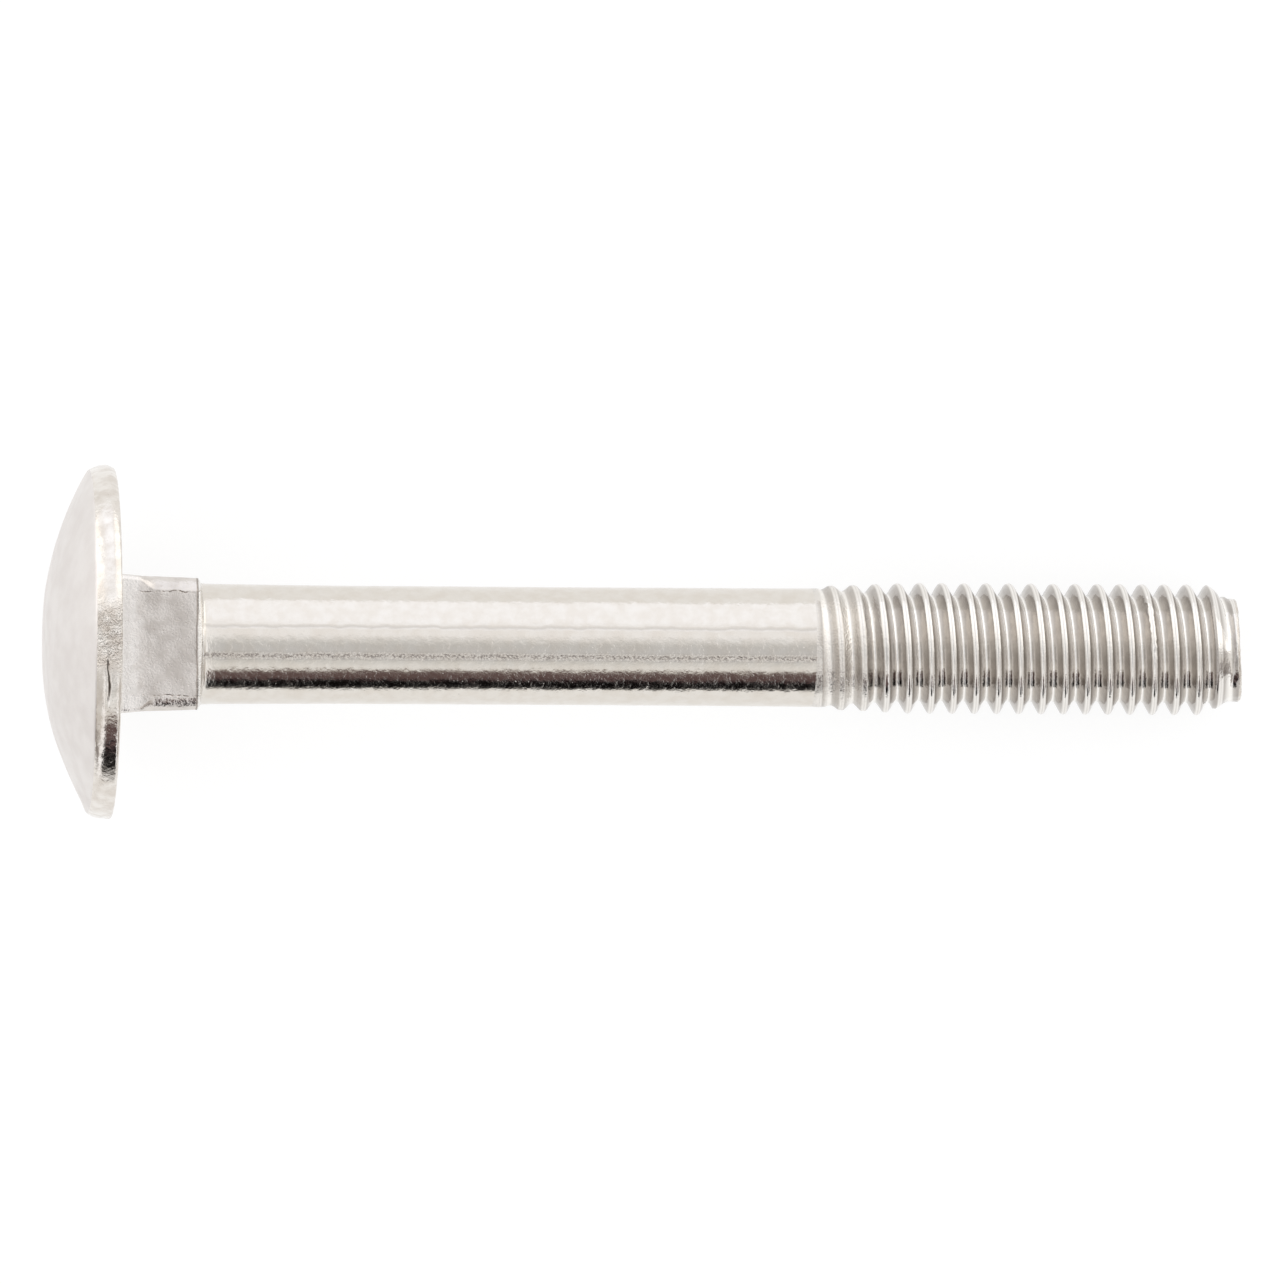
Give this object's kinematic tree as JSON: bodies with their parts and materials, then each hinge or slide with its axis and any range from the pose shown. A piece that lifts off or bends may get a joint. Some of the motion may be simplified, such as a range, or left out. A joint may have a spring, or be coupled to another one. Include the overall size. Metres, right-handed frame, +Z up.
{
  "type": "carriage bolt",
  "caption": "Metal carriage bolt with a low domed round head, a short square neck, a plain shank and a rolled thread at the tip.",
  "frame": {"origin": "on the surface that the bolt lies on, under the middle of its bounding box", "axes": "+X along the bolt towards the tip, +Z up; the bolt's own axis falls 5.9 degrees towards +X, because it rests on the edge of its head and on a thread crest"},
  "size_m": [0.0536, 0.0158, 0.0159],
  "materials": {
    "bright_steel": "satin to bright bare steel, finely pitted on the forged rim, neck edges and tip"
  },
  "bodies": {
    "root": {"carriage_bolt": "bright_steel"}
  },
  "joints": []
}
